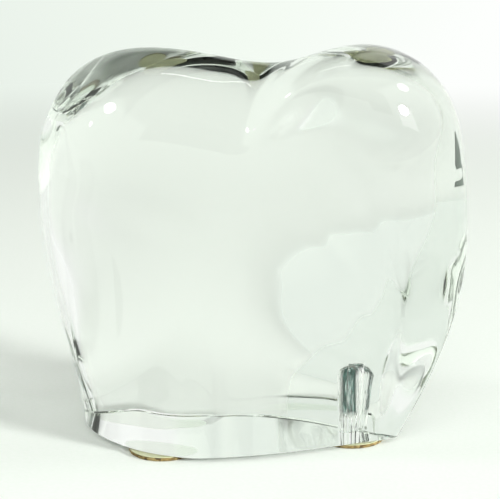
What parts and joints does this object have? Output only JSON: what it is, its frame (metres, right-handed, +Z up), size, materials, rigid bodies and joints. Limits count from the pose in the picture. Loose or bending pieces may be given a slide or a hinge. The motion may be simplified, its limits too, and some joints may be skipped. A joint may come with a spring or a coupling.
{
  "type": "crystal elephant figurine",
  "caption": "Smooth clear crystal elephant paperweight with a rounded back, domed head, tapering trunk and a flat ground base on small cork discs.",
  "frame": {"origin": "centre of the overall box at its underside, which is the plane that the cork discs stand on", "axes": "+X towards the head and trunk, +Y to the animal's left across the thickness, +Z up"},
  "size_m": [0.1183, 0.0588, 0.1082],
  "materials": {
    "crystal": "clear lead crystal, fire polished, base ground flat and polished",
    "cork": "fine agglomerated cork sheet, die cut, bare",
    "adhesive": "pale double-sided adhesive film"
  },
  "bodies": {
    "root": {"crystal_body": "crystal", "cork_pad_rear_right": "cork", "cork_pad_rear_left": "cork", "cork_pad_front": "cork", "adhesive_film_rear_right": "adhesive", "adhesive_film_rear_left": "adhesive", "adhesive_film_front": "adhesive"}
  },
  "joints": []
}
